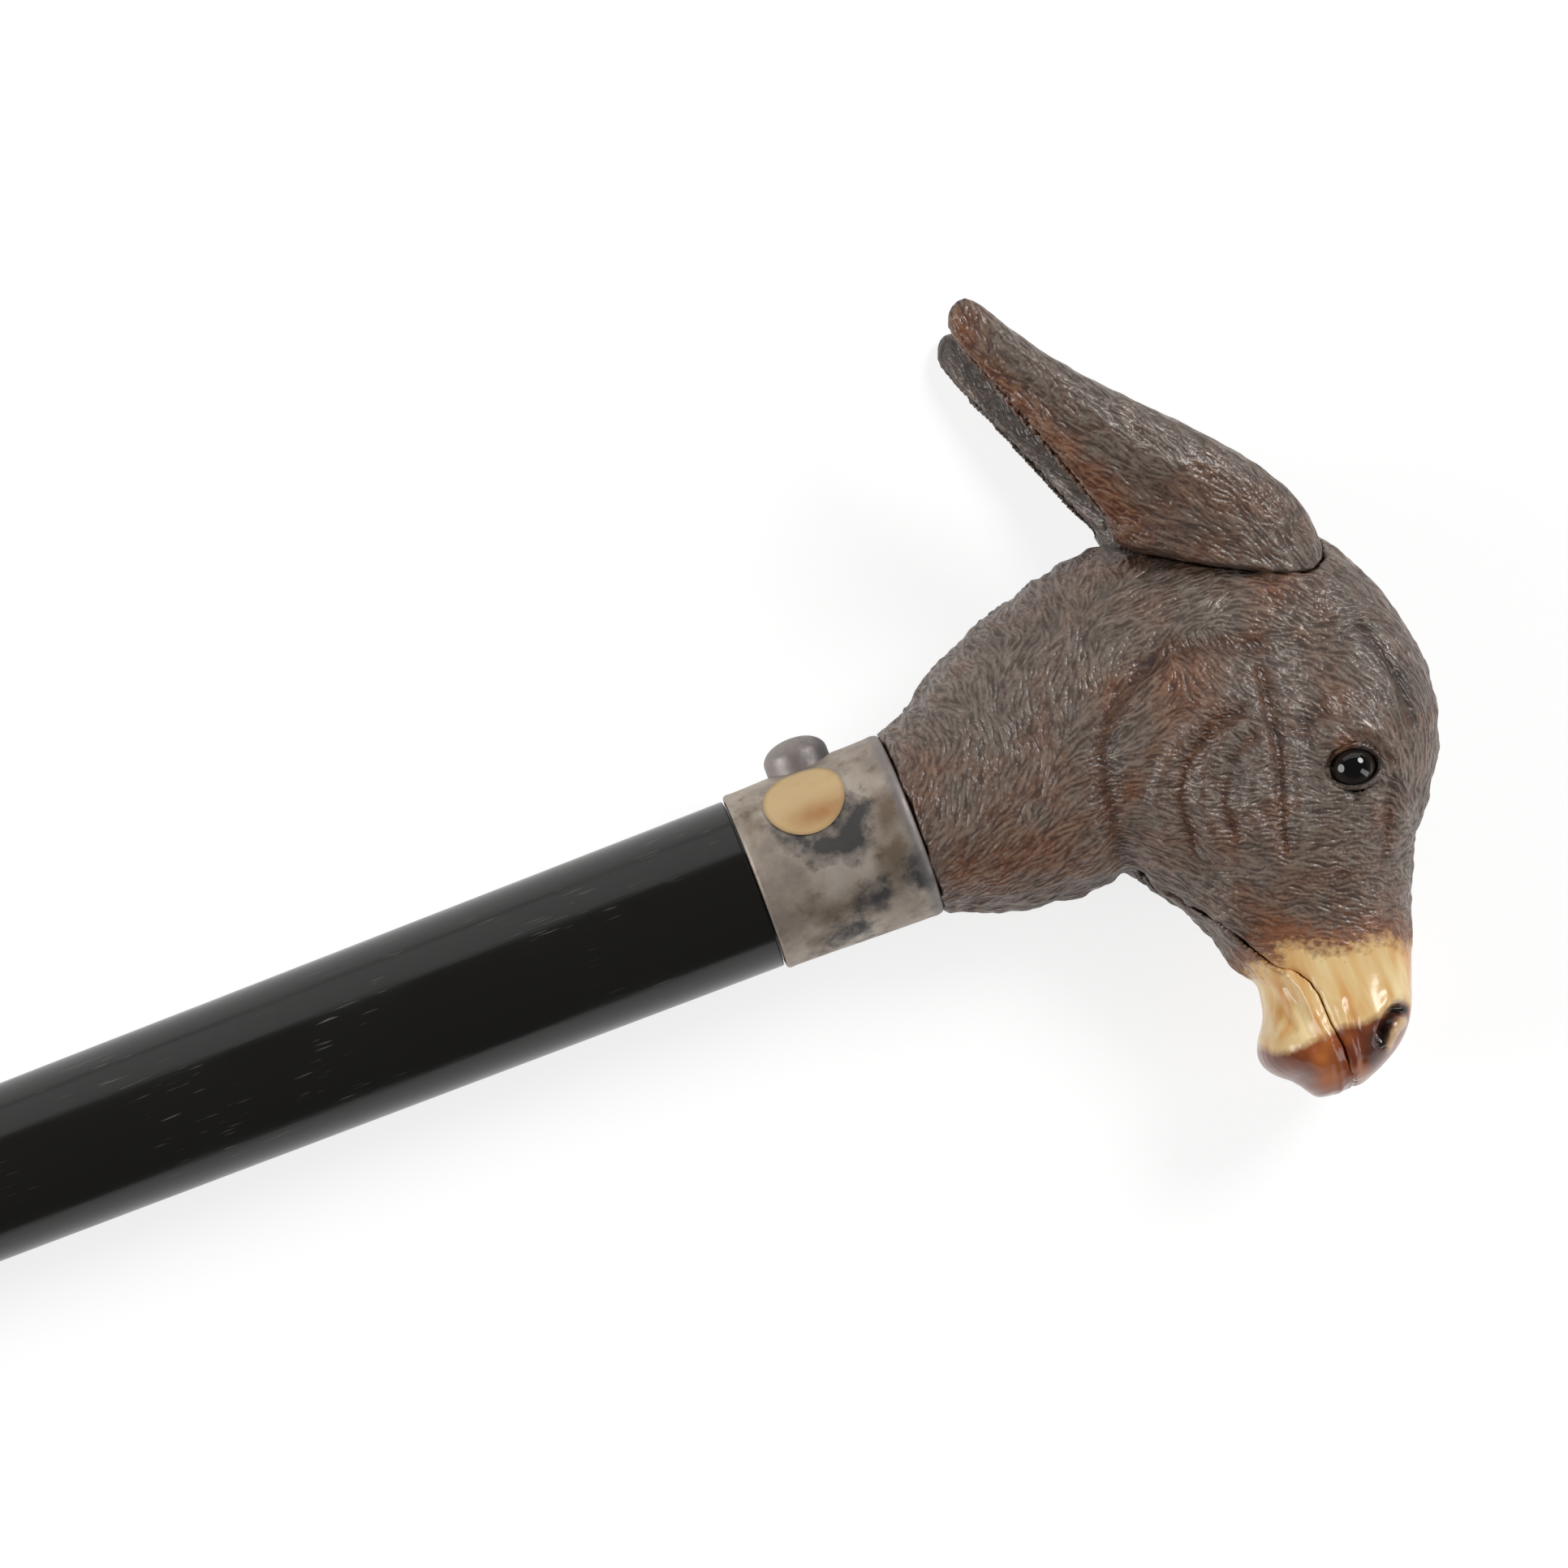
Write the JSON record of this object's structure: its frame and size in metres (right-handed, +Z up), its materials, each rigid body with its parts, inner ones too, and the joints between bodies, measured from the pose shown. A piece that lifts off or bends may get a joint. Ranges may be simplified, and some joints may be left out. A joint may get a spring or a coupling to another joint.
{
  "type": "automaton walking cane",
  "caption": "Walking cane with a carved donkey's head handle; pressing a domed button on the silver collar opens the mouth and lifts the ears.",
  "frame": {"origin": "middle of the ferrule's flat end face", "axes": "+X up the shaft from the ferrule to the head, +Y towards the nape and ears, -Y towards the muzzle, +Z up, towards the donkey's right side, which lies uppermost. The cane lies on a table on its left cheek, left ear and ferrule, so the shaft rises by 0.7 degrees from the ferrule to the head"},
  "size_m": [0.9001, 0.1148, 0.0359],
  "materials": {
    "ebonised_wood": "ebonised and polished to a gloss",
    "carved_wood": "carved, stained grey brown and waxed; the muzzle is stained tan and polished",
    "silver": "tarnished silver",
    "ferrule_brass": "worn brass",
    "iron": "worn bright on its face",
    "eye_glass": "polished, nearly black",
    "bone": "polished bone",
    "red_stained_wood": "stained red",
    "paper": "aged gummed paper, blank",
    "steel": "bright drawn steel",
    "spring_steel": "hard drawn wire",
    "lever_brass": "filed brass"
  },
  "bodies": {
    "cane": {"shaft": "ebonised_wood", "joining_dowel": "steel", "ferrule_sleeve": "ferrule_brass", "ferrule_tip": "iron", "collar": "silver", "head": "carved_wood", "eye_right": "eye_glass", "eye_left": "eye_glass", "upper_teeth": "bone", "inventory_sticker": "paper", "crank_pin": "steel", "jaw_pin": "steel", "rocker_pin": "steel", "ear_pin": "steel", "rod_guide_rear": "lever_brass", "rod_guide_front": "lever_brass", "spring_seat": "lever_brass", "button_spring": "spring_steel"},
    "button": {"button_cap": "silver", "button_stem": "steel"},
    "crank": {"bell_crank": "lever_brass"},
    "rod": {"push_rod": "steel"},
    "jaw": {"lower_jaw": "carved_wood", "jaw_lever": "lever_brass", "tongue": "red_stained_wood", "lower_teeth": "bone"},
    "rocker": {"ear_rocker": "lever_brass"},
    "ears": {"ear_right": "carved_wood", "ear_left": "carved_wood", "ear_lever_right": "lever_brass", "ear_lever_left": "lever_brass"}
  },
  "joints": [
    {"name": "button_press", "type": "slide", "parent": "cane", "child": "button", "axis": [0, -1, 0], "range_m": [0, 0.0024], "stiffness_N_per_m": 1200, "springref_m": -0.001, "deforming": ["button_spring"]},
    {"name": "crank_turn", "type": "hinge", "parent": "cane", "child": "crank", "pos_m": [0.82324, 0.0005, 0.00996], "axis": [-0.0121, 0, 0.9999], "range_deg": [0, 24.1]},
    {"name": "rod_slide", "type": "slide", "parent": "cane", "child": "rod", "axis": [0.9999, 0, 0.0121], "range_m": [0, 0.00335]},
    {"name": "jaw_open", "type": "hinge", "parent": "cane", "child": "jaw", "pos_m": [0.85864, -0.0178, 0.01039], "axis": [-0.0121, 0, 0.9999], "range_deg": [-17.3, 0]},
    {"name": "rocker_turn", "type": "hinge", "parent": "cane", "child": "rocker", "pos_m": [0.87564, 0.004, 0.01059], "axis": [-0.0121, 0, 0.9999], "range_deg": [0, 17]},
    {"name": "ears_lift", "type": "hinge", "parent": "cane", "child": "ears", "pos_m": [0.88884, 0.0148, 0.01075], "axis": [-0.0121, 0, 0.9999], "range_deg": [-21.3, 0]}
  ],
  "couplings": [
    {"joint": "crank_turn", "follows": "button_press", "rad_per_m": 174.55},
    {"joint": "rod_slide", "follows": "button_press", "ratio": 1.3915},
    {"joint": "jaw_open", "follows": "button_press", "rad_per_m": -124.96},
    {"joint": "rocker_turn", "follows": "button_press", "rad_per_m": 122.82},
    {"joint": "ears_lift", "follows": "button_press", "rad_per_m": -154.23}
  ]
}
